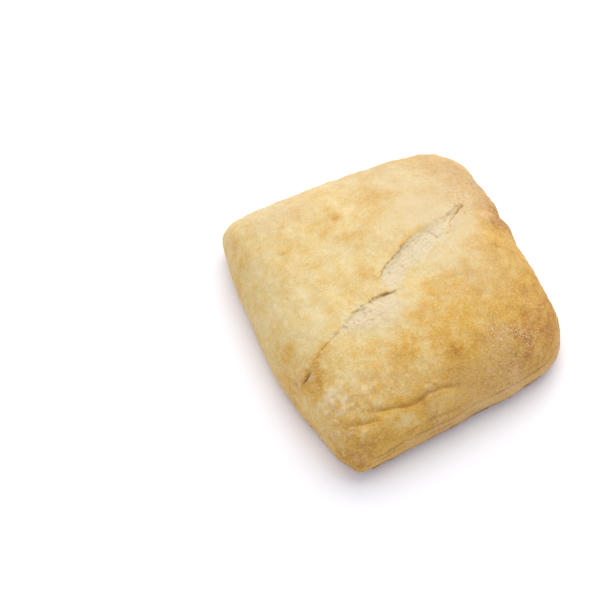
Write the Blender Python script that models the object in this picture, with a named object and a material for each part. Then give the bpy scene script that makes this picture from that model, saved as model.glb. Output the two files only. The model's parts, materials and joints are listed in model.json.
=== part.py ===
"""A ciabatta roll: one flat, nearly square loaf with a slash torn open across its top crust.

The roll lies on its base. Its front edge runs along +X, its back is towards +Y and its crust faces +Z.
The origin is the middle of the space it fills, at the level of the base. Sizes are in metres.
"""

import bmesh
import bpy
import numpy as np
from mathutils import Vector, noise

MM = 0.001

# The plan: a rounded four-sided outline, longer at its left side than at its right.
WIDTH = 100.0 * MM
LENGTH = 111.5 * MM
TAPER = 0.069
FRONT_BULGE = 0.9 * MM
RIGHT_BULGE = 1.6 * MM
BACK_BULGE = 1.9 * MM
LEFT_BULGE = 7.8 * MM
# How round each corner is, from 0 for a sharp one to 1 for an oval.
FRONT_LEFT_ROUND = 0.16
FRONT_RIGHT_ROUND = 0.38
BACK_RIGHT_ROUND = 0.30
BACK_LEFT_ROUND = 0.085

# The half section: a flat dome down to the widest line, then a tucked-in side down to the base.
HEIGHT = 38.0 * MM
WIDEST_HEIGHT = 8.0 * MM
BASE_REACH = 0.945
DOME_FLATNESS = 3.2
SHOULDER_ROUNDNESS = 2.2

# The slash: its axis from the tip to the far end, then stations along the axis in millimetres.
# Each station gives the left edge, the right edge, the depth and where across it the cut is deepest.
SLASH_TIP = Vector((39.5, 13.2)) * MM
SLASH_END = Vector((-49.5, -23.2)) * MM
UPPER_CUT = (
    (-1.0, -1.6, -0.6, 0.0, 0.7),
    (3.0, -3.0, -0.8, 0.8, 0.75),
    (8.0, -2.9, 0.2, 1.1, 0.75),
    (11.5, -3.0, 1.0, 1.2, 0.7),
    (13.5, -3.4, 3.0, 1.0, 0.5),
    (16.0, -4.0, 4.2, 1.05, 0.45),
    (21.0, -4.8, 5.2, 1.15, 0.42),
    (28.0, -5.5, 5.2, 1.3, 0.34),
    (33.0, -5.3, 4.6, 1.4, 0.3),
    (38.0, -4.9, 4.4, 1.4, 0.3),
    (43.0, -4.4, 4.8, 1.2, 0.3),
    (47.0, -3.8, 5.2, 1.0, 0.34),
    (50.0, -2.8, 5.2, 0.5, 0.4),
    (52.0, -1.5, 3.5, 0.0, 0.5),
)
LOWER_CUT = (
    (48.5, 5.2, 6.4, 0.0, 0.3),
    (50.5, 4.4, 7.4, 0.7, 0.2),
    (53.5, 2.6, 7.0, 1.1, 0.2),
    (57.0, 0.8, 6.2, 1.2, 0.25),
    (61.0, 0.5, 5.4, 1.1, 0.3),
    (66.0, -0.8, 4.6, 1.0, 0.3),
    (72.0, -0.9, 3.2, 0.8, 0.35),
    (78.0, -0.9, 1.2, 0.6, 0.4),
    (86.0, -0.8, 0.7, 0.5, 0.45),
    (93.0, -0.2, 1.1, 1.0, 0.45),
    (97.0, -0.4, 0.4, 0.0, 0.5),
)
WALL_CURVE = 0.95
LIP_RAISE = 0.34 * MM
LIP_BREADTH = 2.2 * MM
LIP_MIDDLE = 35.0 * MM
LIP_LENGTH = 9.0 * MM

# The fold along the front shoulder: a crease in two overlapping strokes, the crust rolled out below.
# Each stroke is its line as (x, y) in millimetres, its depth, and how far the crust rolls out.
FOLD_STROKES = (
    (
        (
            (-38, -45.6), (-34, -47.2), (-30.2, -48.8), (-25.7, -50.2), (-21, -51.2), (-16.6, -51.7),
            (-13.4, -51.2), (-10.2, -50.7), (-4.2, -50.4), (0.1, -51.1), (6, -52.0),
        ),
        0.55,
        0.55,
    ),
    (
        ((-46, -46.8), (-42, -48.2), (-38.4, -49.5), (-35.9, -50.3), (-33.3, -50.8), (-29, -52.4)),
        0.45,
        0.5,
    ),
)
FOLD_GROOVE = 1.2 * MM
FOLD_ROLL = 2.3 * MM
FOLD_FADE = 8.0 * MM
FOLD_LOWEST = 12.0 * MM
FOLD_RISE = 6.0 * MM
# The stretch of shoulder that takes smaller cells for it.
FOLD_START = -50.0 * MM
FOLD_END = 4.0 * MM
FOLD_Y = -50.4 * MM

# The knob on the right edge and the notches beside it: place along Y, reach outwards, half length.
KNOB = (3.2 * MM, 1.5 * MM, 4.2 * MM)
NOTCHES = (
    (11.0 * MM, -0.9 * MM, 1.8 * MM),
    (-3.2 * MM, -0.5 * MM, 1.8 * MM),
)
KNOB_HEIGHT = 19.0 * MM
KNOB_SPREAD = 9.0 * MM
KNOB_START = 38.0 * MM
KNOB_FADE = 8.0 * MM

# Small swellings and hollows along the outline: place in millimetres, how far each reaches along the
# edge and how far it stands out, also in millimetres.
EDGE_SWELLINGS = (
    (-48, 57, 14, 7, 0.6),
    (-9, 56, 22, 14, 0.6),
    (47, 45, 19, 8, 0.7),
    (52, 20, 18, 7, 0.8),
    (54, 8, 18, 3, 0.4),
    (53, 14, 18, 5, 0.6),
    (53, 0, 18, 3, -0.6),
    (51, -38, 17, 6, -0.5),
    (47, -48, 7, 6, 0.7),
    (22, -56, 7, 7, 0.6),
    (34, 51, 22, 10, -0.7),
    (-54, 17, 8, 14, -0.8),
    (-52, -35, 8, 7, -0.7),
    (-52, -44, 8, 13, -0.9),
    (-48, -55, 4, 5, -1.0),
    (-43, -59, 6, 4, 1.3),
    (-24, -57, 5, 17, -0.5),
)

# Slow swells of the crust.
SWELL = 0.8 * MM
SWELL_SPACING = 27.0 * MM
SWELL_PLACE = Vector((3.1, 7.7, 1.9))

# The mesh before it is shaped: cells along each side of the top, rows down the sides.
TOP_CELLS = 36
SIDE_ROWS = 9
TOP_SHARE = 0.68
WIDE_BAND = 6.0 * MM
NARROW_BAND = 3.0 * MM
FOLD_BAND = 7.0 * MM
SNAP = 0.34 * MM
FAR_AWAY = 1.0
LEVEL = np.array((1.0, 1.0, 0.0))
TINY = 1e-6

CRUST_COLOUR = (0.68, 0.43, 0.16, 1.0)
CRUST_ROUGHNESS = 0.75


def clear_scene():
    for obj in list(bpy.data.objects):
        bpy.data.objects.remove(obj)


def blank_sheet():
    """The roll before it is shaped: a square sheet, its rim drawn down row by row and closed underneath."""
    bm = bmesh.new()
    bmesh.ops.create_grid(bm, x_segments=TOP_CELLS, y_segments=TOP_CELLS, size=1.0)
    rim = [edge for edge in bm.edges if edge.is_boundary]
    for _ in range(SIDE_ROWS):
        drawn = bmesh.ops.extrude_edge_only(bm, edges=rim)["geom"]
        verts = [item for item in drawn if isinstance(item, bmesh.types.BMVert)]
        bmesh.ops.translate(bm, vec=(0.0, 0.0, -1.0 / SIDE_ROWS), verts=verts)
        rim = [item for item in drawn if isinstance(item, bmesh.types.BMEdge) and item.is_boundary]
    bmesh.ops.contextual_create(bm, geom=rim)
    return bm


def coordinates(bm):
    return np.array([vert.co[:] for vert in bm.verts])


def section_curve(steps=400):
    """How far out and how high the crust lies, from the top's middle (0) to the edge of the base (1)."""
    turn = np.linspace(0.0, np.pi / 2, steps)
    dome_reach = np.sin(turn) ** (2 / DOME_FLATNESS)
    dome_height = WIDEST_HEIGHT + (HEIGHT - WIDEST_HEIGHT) * np.cos(turn) ** (2 / SHOULDER_ROUNDNESS)
    side_reach = BASE_REACH + (1 - BASE_REACH) * np.cos(turn)
    side_height = WIDEST_HEIGHT * (1 - np.sin(turn))
    reach = np.append(dome_reach, side_reach[1:])
    height = np.append(dome_height, side_height[1:])
    lengths = np.hypot(np.diff(reach) * WIDTH / 2, np.diff(height))
    along = np.append(0.0, np.cumsum(lengths))
    return along / along[-1], reach, height


def outline_scale(a, b, roundness):
    """Stretches a point of the square's rim onto straight sides with round corners."""
    low = np.minimum(abs(a), abs(b))
    straight = 1 - roundness
    inside = (straight * (1 + low)) ** 2 - (1 + low**2) * (2 * straight**2 - roundness**2)
    arc = (straight * (1 + low) + np.sqrt(np.maximum(inside, 0.0))) / (1 + low**2)
    return np.where(low < straight, 1.0, arc)


def side_bulge(place, low_side, high_side):
    """How far two opposite sides swell outwards, for a place from -1 at the one to 1 at the other."""
    return high_side * np.maximum(place, 0.0) ** 2 - low_side * np.maximum(-place, 0.0) ** 2


def plan_point(a, b, reach):
    """The plan place for a point a, b on the square's rim, brought in to the given reach."""
    right = (1 + a) / 2
    back = (1 + b) / 2
    corner = (1 - back) * ((1 - right) * FRONT_LEFT_ROUND + right * FRONT_RIGHT_ROUND)
    corner = corner + back * ((1 - right) * BACK_LEFT_ROUND + right * BACK_RIGHT_ROUND)
    roundness = corner + (1 - corner) * (1 - reach**2)
    scale = outline_scale(a, b, roundness)
    across = a * scale
    along = b * scale
    sideways = side_bulge(across, LEFT_BULGE, RIGHT_BULGE) * (1 - along**2)
    lengthways = side_bulge(along, FRONT_BULGE, BACK_BULGE) * (1 - across**2)
    x = (across * WIDTH / 2 + sideways) * reach + (LEFT_BULGE - RIGHT_BULGE) / 2
    y = (along * LENGTH / 2 + lengthways) * reach * (1 - TAPER * across * reach)
    return x, y


def shaped(sheet):
    """Places on the smooth roll for points of the blank sheet."""
    a, b, down = sheet.T
    square = np.maximum(np.maximum(abs(a), abs(b)), TINY)
    share = square * TOP_SHARE + (1 - TOP_SHARE) * -down
    along, reach, height = section_curve()
    out = np.interp(share, along, reach)
    x, y = plan_point(a / square, b / square, out)
    return np.column_stack([x, y, np.interp(share, along, height)])


def bump(distance, half_length):
    """A smooth hump, 1 at its middle."""
    return np.exp(-((distance / half_length) ** 2))


def ramp(distance, length):
    """Rises evenly from 0 to 1 over the length."""
    return np.clip(distance / length, 0.0, 1.0)


def swells(points):
    field = [noise.noise(Vector(point) / SWELL_SPACING + SWELL_PLACE) for point in points]
    return SWELL * np.array(field) * ramp(points[:, 2], WIDEST_HEIGHT)


def edge_reliefs(points):
    """How far the right edge stands out or lies back."""
    x, y, z = points.T
    here = bump(z - KNOB_HEIGHT, KNOB_SPREAD) * ramp(x - KNOB_START, KNOB_FADE)
    return here * sum(reach * bump(y - place, length) for place, reach, length in (KNOB, *NOTCHES))


def edge_swellings(points):
    """How far the outline's swellings stand out and its hollows lie back."""
    total = np.zeros(len(points))
    for x, y, z, reach, out in EDGE_SWELLINGS:
        away = np.linalg.norm(points - np.array((x, y, z)) * MM, axis=1)
        total += out * MM * bump(away, reach * MM)
    return total


def fold_relief(points):
    """The front shoulder's crease, and the crust rolled out below it."""
    x, y, z = points.T
    relief = np.zeros(len(points))
    for line, depth, roll_out in FOLD_STROKES:
        line_x, line_y = np.array(line).T * MM
        below = np.interp(x, line_x, line_y) - y
        share = ramp(x - line_x[0], FOLD_FADE) * ramp(line_x[-1] - x, FOLD_FADE)
        share = share * ramp(z - FOLD_LOWEST, FOLD_RISE)
        rolled = roll_out * MM * bump(below - 1.2 * FOLD_ROLL, FOLD_ROLL) * (below > 0)
        relief += share * (rolled - depth * MM * bump(below, FOLD_GROOVE))
    return relief


def slash_frame(points):
    """Each point's place along and across the slash."""
    axis = (SLASH_END - SLASH_TIP).normalized()
    from_tip = points[:, :2] - np.array(SLASH_TIP)
    along = from_tip @ np.array(axis)
    across = from_tip @ np.array((-axis.y, axis.x))
    return along, across


def stations(cut, along):
    """The cut's left edge, right edge, depth and deepest place at each point along it."""
    place, left, right, depth, deepest = np.array(cut).T
    at = along / MM
    edges = [np.interp(at, place, values) * MM for values in (left, right, depth)]
    return *edges, np.interp(at, place, deepest)


def cut_depth(cut, along, across):
    """How deep the cut lies under the crust: a steep wall down from one lip, a slope up to the other."""
    left, right, depth, deepest = stations(cut, along)
    share = ramp(across - left, right - left)
    wall = np.sin(np.pi / 2 * ramp(share, deepest)) ** WALL_CURVE
    slope = np.cos(np.pi / 2 * ramp(share - deepest, 1 - deepest))
    return depth * np.where(share < deepest, wall, slope)


def slash_depth(points):
    along, across = slash_frame(points)
    return np.maximum(cut_depth(UPPER_CUT, along, across), cut_depth(LOWER_CUT, along, across))


def snapped(points):
    """Draws the points closest to a cut's lips or deepest line onto it, so that the cut's walls run clean."""
    along, across = slash_frame(points)
    shifts = []
    for cut in (UPPER_CUT, LOWER_CUT):
        beside = (along > cut[0][0] * MM) & (along < cut[-1][0] * MM) & (points[:, 2] > WIDEST_HEIGHT)
        left, right, _, deepest = stations(cut, along)
        for line in (left, right, left + deepest * (right - left)):
            shifts.append(np.where(beside, line - across, FAR_AWAY))
    shifts = np.array(shifts)
    nearest = np.take_along_axis(shifts, abs(shifts).argmin(axis=0)[None], axis=0)[0]
    nearest[abs(nearest) > SNAP] = 0.0
    axis = (SLASH_END - SLASH_TIP).normalized()
    moved = points.copy()
    moved[:, :2] += nearest[:, None] * np.array((-axis.y, axis.x))
    return moved


def lip_raise(points):
    """The left lip, which the rising dough lifted."""
    along, across = slash_frame(points)
    left = stations(UPPER_CUT, along)[0]
    outside = np.minimum(across - left, 0.0)
    return LIP_RAISE * bump(outside, LIP_BREADTH) * bump(along - LIP_MIDDLE, LIP_LENGTH) * (across <= left)


def nearest_cut(points):
    """How far each point lies from the slash, 0 inside it."""
    along, across = slash_frame(points)
    gaps = []
    for cut in (UPPER_CUT, LOWER_CUT):
        left, right = stations(cut, along)[:2]
        beside = np.maximum(np.maximum(left - across, across - right), 0.0)
        past = np.maximum(np.maximum(cut[0][0] * MM - along, along - cut[-1][0] * MM), 0.0)
        gaps.append(np.hypot(beside, past))
    return np.where(points[:, 2] > WIDEST_HEIGHT, np.minimum(*gaps), FAR_AWAY)


def near_fold(points):
    x, y, z = points.T
    beside = (x > FOLD_START - FOLD_BAND) & (x < FOLD_END) & (z > WIDEST_HEIGHT)
    return beside & (abs(y - FOLD_Y) < FOLD_BAND)


def refine(bm, wanted):
    """Halves the cells whose points are all wanted."""
    bm.verts.index_update()
    edges = [edge for edge in bm.edges if all(wanted[vert.index] for vert in edge.verts)]
    bmesh.ops.subdivide_edges(bm, edges=edges, cuts=1, use_grid_fill=True)


def split_diagonals(bm):
    """Splits the cells on the sheet's diagonals along them, so that ridges to the corners run straight."""
    for face in list(bm.faces):
        ends = [vert for vert in face.verts if on_diagonal(vert.co)]
        if len(face.verts) == 4 and len(ends) == 2 and not bm.edges.get(ends):
            bmesh.utils.face_split(face, *ends)


def on_diagonal(place):
    return place.z > -TINY and abs(abs(place.x) - abs(place.y)) < TINY


def settle(points):
    """Moves the roll so that the middle of its space, at base level, is the origin."""
    low = points.min(axis=0)
    high = points.max(axis=0)
    middle = (low + high) / 2
    middle[2] = low[2]
    return points - middle


def shape_roll(bm):
    """Gives the blank sheet the roll's form: the smooth loaf, its swells and fold, then the slash."""
    base = snapped(shaped(coordinates(bm)))
    write_back(bm, base)
    bm.normal_update()
    outwards = np.array([vert.normal[:] for vert in bm.verts])
    relief = swells(base) + fold_relief(base) + lip_raise(base)
    relief[base[:, 2] < TINY] = 0.0
    points = base + outwards * relief[:, None]
    points += outwards * LEVEL * edge_swellings(base)[:, None]
    points[:, 0] += edge_reliefs(base)
    points[:, 2] -= slash_depth(base)
    write_back(bm, settle(points))


def write_back(bm, points):
    for vert, point in zip(bm.verts, points, strict=True):
        vert.co = point


def crust_material():
    material = bpy.data.materials.new("baked_crust")
    material.use_nodes = True
    shader = material.node_tree.nodes["Principled BSDF"]
    shader.inputs["Base Color"].default_value = CRUST_COLOUR
    shader.inputs["Roughness"].default_value = CRUST_ROUGHNESS
    shader.inputs["Metallic"].default_value = 0.0
    return material


def ciabatta_roll():
    bm = blank_sheet()
    points = shaped(coordinates(bm))
    refine(bm, (nearest_cut(points) < WIDE_BAND) | near_fold(points))
    refine(bm, nearest_cut(shaped(coordinates(bm))) < NARROW_BAND)
    split_diagonals(bm)
    shape_roll(bm)
    bmesh.ops.recalc_face_normals(bm, faces=bm.faces)
    mesh = bpy.data.meshes.new("ciabatta_roll")
    bm.to_mesh(mesh)
    bm.free()
    mesh.shade_smooth()
    mesh.materials.append(crust_material())
    roll = bpy.data.objects.new("ciabatta_roll", mesh)
    bpy.context.scene.collection.objects.link(roll)
    return roll


clear_scene()
ciabatta_roll()
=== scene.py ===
# %% [markdown]
# # A ciabatta roll
#
# This script dresses one baked part: a flat, nearly square ciabatta roll with a slash torn open across
# its crust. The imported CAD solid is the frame. It gives the roll's size, its outline and its slash, and
# it never moves. Blender adds what bread needs and a plain solid leaves out: a ragged lip, torn crumb,
# wrinkles, blisters, browning and flour.
#
# Everything is in metres, +Z is up and the roll rests at z = 0. Sizes are written in millimetres and
# multiplied by MM, because a baker would measure them that way.

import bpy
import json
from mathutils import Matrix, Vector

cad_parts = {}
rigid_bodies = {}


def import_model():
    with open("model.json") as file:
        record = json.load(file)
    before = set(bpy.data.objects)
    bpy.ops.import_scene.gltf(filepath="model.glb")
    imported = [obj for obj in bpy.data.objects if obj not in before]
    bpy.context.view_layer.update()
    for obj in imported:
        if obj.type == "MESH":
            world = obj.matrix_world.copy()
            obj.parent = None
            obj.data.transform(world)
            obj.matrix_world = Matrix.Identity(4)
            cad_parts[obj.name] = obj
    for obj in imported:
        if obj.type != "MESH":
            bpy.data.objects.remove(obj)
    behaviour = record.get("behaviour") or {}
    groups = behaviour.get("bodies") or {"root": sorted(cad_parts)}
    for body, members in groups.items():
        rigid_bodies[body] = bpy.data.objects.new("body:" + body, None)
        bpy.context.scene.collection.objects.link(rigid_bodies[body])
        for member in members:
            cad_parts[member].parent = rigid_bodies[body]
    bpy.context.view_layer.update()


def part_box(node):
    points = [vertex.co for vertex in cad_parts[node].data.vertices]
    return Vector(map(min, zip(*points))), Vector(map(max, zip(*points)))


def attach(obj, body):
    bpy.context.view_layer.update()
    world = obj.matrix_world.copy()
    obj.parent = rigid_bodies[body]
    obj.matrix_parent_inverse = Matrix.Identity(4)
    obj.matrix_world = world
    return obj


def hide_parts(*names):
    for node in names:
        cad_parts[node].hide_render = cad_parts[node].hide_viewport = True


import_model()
roll_low, roll_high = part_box("ciabatta_roll")

# %% Tools that the rest of the script uses
import json

import bmesh
import bpy
import numpy as np
from mathutils import Matrix, Vector, noise

MM = 0.001


def span(values):
    """The lowest and highest of some lengths, in millimetres, to print."""
    return np.round([values.min() / MM, values.max() / MM], 2).tolist()


scene_objects = bpy.context.scene.collection.objects
print("Blender", bpy.app.version_string)

# %% [markdown]
# ## The dough sheet
#
# A roll like this is cut from a flat sheet of wet dough, so its mesh starts as a sheet too. A UV sphere
# would bunch its faces at two poles and a cube would show its corners, while a grid gives even cells all
# over the crust. The grid is the top. Its rim is then extruded downwards row by row for the sides, as
# you would press E and pull the edge loop, and one face closes the base. At this stage the shape is
# abstract: x and y run from -1 to 1 and z counts how far down the side a row is.

# %% A grid for the top, extruded down for the sides
TOP_CELLS = 184
SIDE_ROWS = 48


def dough_sheet():
    sheet = bmesh.new()
    bmesh.ops.create_grid(sheet, x_segments=TOP_CELLS, y_segments=TOP_CELLS, size=1.0)
    rim = [edge for edge in sheet.edges if edge.is_boundary]
    for _ in range(SIDE_ROWS):
        drawn = bmesh.ops.extrude_edge_only(sheet, edges=rim)["geom"]
        corners = [item for item in drawn if isinstance(item, bmesh.types.BMVert)]
        bmesh.ops.translate(sheet, vec=(0.0, 0.0, -1.0 / SIDE_ROWS), verts=corners)
        rim = [item for item in drawn if isinstance(item, bmesh.types.BMEdge) and item.is_boundary]
    bmesh.ops.contextual_create(sheet, geom=rim)
    return sheet


roll = dough_sheet()
print("dough sheet:", len(roll.verts), "points,", len(roll.faces), "faces")

# %% [markdown]
# ## The loaf's section and plan
#
# Cut across, the real roll is a low dome: almost flat on top, a round shoulder, widest 8 mm above the
# table and tucked in a little under that. Seen from above it is four slightly bulging sides with corners
# of four different roundnesses. Two curves describe all of it, so the sheet is placed by formula and not
# by hand: one says how far out and how high each row lies, the other where the outline runs.
# They are the same curves, with the same numbers, as those of the CAD solid.

# %% The half section: reach outwards and height, from the middle of the top to the edge of the base
WIDTH = 100.0 * MM
HEIGHT = 38.0 * MM
WIDEST_HEIGHT = 8.0 * MM
BASE_REACH = 0.945
DOME_FLATNESS = 3.2
SHOULDER_ROUNDNESS = 2.2
SECTION_STEPS = 400


def section_curve():
    turn = np.linspace(0.0, np.pi / 2, SECTION_STEPS)
    dome_reach = np.sin(turn) ** (2 / DOME_FLATNESS)
    dome_height = WIDEST_HEIGHT + (HEIGHT - WIDEST_HEIGHT) * np.cos(turn) ** (2 / SHOULDER_ROUNDNESS)
    side_reach = BASE_REACH + (1 - BASE_REACH) * np.cos(turn)
    side_height = WIDEST_HEIGHT * (1 - np.sin(turn))
    reach = np.append(dome_reach, side_reach[1:])
    height = np.append(dome_height, side_height[1:])
    lengths = np.hypot(np.diff(reach) * WIDTH / 2, np.diff(height))
    along = np.append(0.0, np.cumsum(lengths))
    return along, reach, height


SECTION = section_curve()
GIRTH = SECTION[0][-1]
print("from the middle of the top to the base edge, over the crust:", round(GIRTH / MM, 1), "mm")

# %% The plan: straight sides with round corners, swollen outwards
LENGTH = 111.5 * MM
TAPER = 0.069
FRONT_BULGE = 0.9 * MM
RIGHT_BULGE = 1.6 * MM
BACK_BULGE = 1.9 * MM
LEFT_BULGE = 7.8 * MM
FRONT_LEFT_ROUND = 0.16
FRONT_RIGHT_ROUND = 0.38
BACK_RIGHT_ROUND = 0.30
BACK_LEFT_ROUND = 0.085


def outline_scale(a, b, roundness):
    low = np.minimum(abs(a), abs(b))
    straight = 1 - roundness
    inside = (straight * (1 + low)) ** 2 - (1 + low**2) * (2 * straight**2 - roundness**2)
    arc = (straight * (1 + low) + np.sqrt(np.maximum(inside, 0.0))) / (1 + low**2)
    return np.where(low < straight, 1.0, arc)


def side_bulge(place, low_side, high_side):
    return high_side * np.maximum(place, 0.0) ** 2 - low_side * np.maximum(-place, 0.0) ** 2


def plan_point(a, b, reach):
    right = (1 + a) / 2
    back = (1 + b) / 2
    corner = (1 - back) * ((1 - right) * FRONT_LEFT_ROUND + right * FRONT_RIGHT_ROUND)
    corner = corner + back * ((1 - right) * BACK_LEFT_ROUND + right * BACK_RIGHT_ROUND)
    scale = outline_scale(a, b, corner + (1 - corner) * (1 - reach**2))
    across = a * scale
    along = b * scale
    sideways = side_bulge(across, LEFT_BULGE, RIGHT_BULGE) * (1 - along**2)
    lengthways = side_bulge(along, FRONT_BULGE, BACK_BULGE) * (1 - across**2)
    x = (across * WIDTH / 2 + sideways) * reach + (LEFT_BULGE - RIGHT_BULGE) / 2
    y = (along * LENGTH / 2 + lengthways) * reach * (1 - TAPER * across * reach)
    return x, y


print("outline", WIDTH / MM, "by", LENGTH / MM, "mm before its sides bulge")

# %% Lay the sheet over the loaf
TOP_SHARE = 0.68
TINY = 1e-6


def coordinates(mesh):
    return np.array([vert.co[:] for vert in mesh.verts])


def girth_share(sheet):
    """How far down over the crust each point lies, from 0 in the middle of the top to 1 at the base."""
    a, b, down = sheet.T
    square = np.maximum(np.maximum(abs(a), abs(b)), TINY)
    return square, square * TOP_SHARE + (1 - TOP_SHARE) * -down


def loaf_place(sheet):
    square, share = girth_share(sheet)
    along, reach, height = SECTION
    out = np.interp(share * GIRTH, along, reach)
    x, y = plan_point(sheet[:, 0] / square, sheet[:, 1] / square, out)
    return np.column_stack([x, y, np.interp(share * GIRTH, along, height)])


smooth_box = loaf_place(coordinates(roll))
print("smooth loaf in mm:", np.round(np.ptp(smooth_box, axis=0) / MM, 1))

# %% [markdown]
# ## Where the slash runs
#
# The baker scores the dough with a blade, and the oven tears the score open. It is one line over the
# roll: a wide upper opening, a small bridge of crust, and a narrow lower crack that ends as a thin slit
# over the left shoulder. A boolean cut would leave a hard, machined groove, so the slash is sculpted
# into the sheet instead. Each station below is a slice through it, in millimetres: the place along the
# line, the left and right edges, the depth, and where across it the bottom is. Everything that the
# slash changes (depth, lips, crumb, colour) then reads the same two numbers: along it and across it.

# %% Slices through the slash
SLASH_TIP = Vector((39.5, 13.2)) * MM
SLASH_END = Vector((-49.5, -23.2)) * MM
UPPER_CUT = (
    (-1.0, -1.6, -0.6, 0.0, 0.7), (3.0, -3.0, -0.8, 0.8, 0.75), (8.0, -2.9, 0.2, 1.1, 0.75),
    (11.5, -3.0, 1.0, 1.2, 0.7), (13.5, -3.4, 3.0, 1.0, 0.5), (16.0, -4.0, 4.2, 1.05, 0.45),
    (21.0, -4.8, 5.2, 1.15, 0.42), (28.0, -5.5, 5.2, 1.3, 0.34), (33.0, -5.3, 4.6, 1.4, 0.3),
    (38.0, -4.9, 4.4, 1.4, 0.3), (43.0, -4.4, 4.8, 1.2, 0.3), (47.0, -3.8, 5.2, 1.0, 0.34),
    (50.0, -2.8, 5.2, 0.5, 0.4), (52.0, -1.5, 3.5, 0.0, 0.5),
)
LOWER_CUT = (
    (48.5, 5.2, 6.4, 0.0, 0.3), (50.5, 4.4, 7.4, 0.7, 0.2), (53.5, 2.6, 7.0, 1.1, 0.2),
    (57.0, 0.8, 6.2, 1.2, 0.25), (61.0, 0.5, 5.4, 1.1, 0.3), (66.0, -0.8, 4.6, 1.0, 0.3),
    (72.0, -0.9, 3.2, 0.8, 0.35), (78.0, -0.9, 1.2, 0.5, 0.4), (84.0, -0.8, 0.9, 0.2, 0.45),
    (90.5, -0.5, 0.9, 0.15, 0.45), (93.0, -0.2, 1.1, 1.0, 0.45), (97.0, -0.4, 0.4, 0.0, 0.5),
)
SLASH_AXIS = np.array((SLASH_END - SLASH_TIP).normalized())
ACROSS_AXIS = np.array((-SLASH_AXIS[1], SLASH_AXIS[0]))


def slash_frame(points):
    """Each point's place along the slash and across it, towards the front right."""
    from_tip = points[:, :2] - np.array(SLASH_TIP)
    return from_tip @ SLASH_AXIS, from_tip @ ACROSS_AXIS


def ramp(distance, length):
    """Rises from 0 to 1 over the length."""
    return np.clip(distance / length, 0.0, 1.0)


def bump(distance, half_length):
    """1 where the distance is 0, falling softly to 0 around it."""
    return np.exp(-((distance / half_length) ** 2))


def soft(share):
    """Eases a ramp in and out."""
    return share * share * (3 - 2 * share)


def rough(points, spacing, place):
    """Smooth noise at the points, about -1 to 1, with bumps one spacing apart."""
    spots = (points / np.array(spacing) + np.array(place)).tolist()
    return np.array([noise.noise(spot) for spot in spots])


print("slash length", round((SLASH_END - SLASH_TIP).length / MM, 1), "mm")

# %% Ragged edges for the slash
# Each size of shred, its place in the noise and how much it counts.
TEARS = ((1.1 * MM, 4.8, 0.45), (2.4 * MM, 0.3, 0.6), (6.5 * MM, 7.3, 0.8))
LEFT_TEAR = 2.6
RIGHT_TEAR = 9.1
LEFT_RAG = 0.75 * MM
RIGHT_RAG = 1.0 * MM
# A cut at least this wide, in millimetres, is ragged to the full.
WIDE_OPEN = 3.0


def tear_line(along, place):
    """An uneven line along the slash, about -1 to 1."""
    line = np.column_stack([along, np.zeros(len(along)), np.zeros(len(along))])
    return sum(share * rough(line, size, (0.0, place, seed)) for size, seed, share in TEARS)


def cut_edges(cut, along):
    """The cut's left edge, right edge, depth and deepest place beside each point."""
    place, left, right, depth, deepest = np.array(cut).T
    at = along / MM
    open_share = ramp(np.interp(at, place, right - left), WIDE_OPEN)
    left_edge = np.interp(at, place, left) * MM + LEFT_RAG * open_share * tear_line(along, LEFT_TEAR)
    right_edge = np.interp(at, place, right) * MM + RIGHT_RAG * open_share * tear_line(along, RIGHT_TEAR)
    return left_edge, right_edge, np.interp(at, place, depth) * MM, np.interp(at, place, deepest)


def distance_to_slash(points):
    along, across = slash_frame(points)
    gaps = []
    for cut in (UPPER_CUT, LOWER_CUT):
        left, right = cut_edges(cut, along)[:2]
        beside = np.maximum(np.maximum(left - across, across - right), 0.0)
        past = np.maximum(np.maximum(cut[0][0] * MM - along, along - cut[-1][0] * MM), 0.0)
        gaps.append(np.hypot(beside, past))
    return np.where(points[:, 2] > WIDEST_HEIGHT, np.minimum(*gaps), WIDTH)


print("points inside the slash:", int((distance_to_slash(smooth_box) < TINY).sum()))

# %% [markdown]
# ## Smaller cells where the crust tears and folds
#
# Half a millimetre is fine enough for crust, but a torn lip needs cells half that size. Subdividing the
# whole roll would cost four times the faces for nothing, so only the edges beside the slash and along
# the front fold are subdivided, as you would do with a selection and Subdivide.

# %% Subdivide beside the slash and the fold
SLASH_BAND = 2.5 * MM
FOLD_START = -50.0 * MM
FOLD_END = 0.0 * MM
FOLD_LINE = -50.4 * MM
FOLD_BAND = 3.0 * MM


def near_fold(points):
    x, y, z = points.T
    return (x > FOLD_START) & (x < FOLD_END) & (z > WIDEST_HEIGHT) & (abs(y - FOLD_LINE) < FOLD_BAND)


def subdivide_where(mesh, wanted):
    mesh.verts.index_update()
    edges = [edge for edge in mesh.edges if all(wanted[vert.index] for vert in edge.verts)]
    bmesh.ops.subdivide_edges(mesh, edges=edges, cuts=1, use_grid_fill=True)


places = loaf_place(coordinates(roll))
subdivide_where(roll, (distance_to_slash(places) < SLASH_BAND) | near_fold(places))
print("after subdividing:", len(roll.verts), "points,", len(roll.faces), "faces")

# %% Put the sheet's points on the smooth loaf and find which way is out
smooth = loaf_place(coordinates(roll))
for vert, place in zip(roll.verts, smooth, strict=True):
    vert.co = place
bmesh.ops.recalc_face_normals(roll, faces=roll.faces)
roll.normal_update()
outwards = np.array([vert.normal[:] for vert in roll.verts])
x, y, z = smooth.T
on_top = z > WIDEST_HEIGHT
off_base = ramp(z, 0.5 * MM)
level_places = smooth * np.array((1.0, 1.0, 0.0))
print("smooth loaf stands on", int((z < TINY).sum()), "points")

# %% [markdown]
# ## The crust's relief
#
# Bread is never smooth. Gas lifts slow swells a few centimetres apart, smaller bubbles push up lumps,
# and the skin dries into fine grain. Noise at falling sizes, each with its own height in millimetres,
# makes all three. It is worked into the mesh itself, so that it also shows on the outline and in the
# shadows, and only the very finest grain is left to the material.

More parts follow.
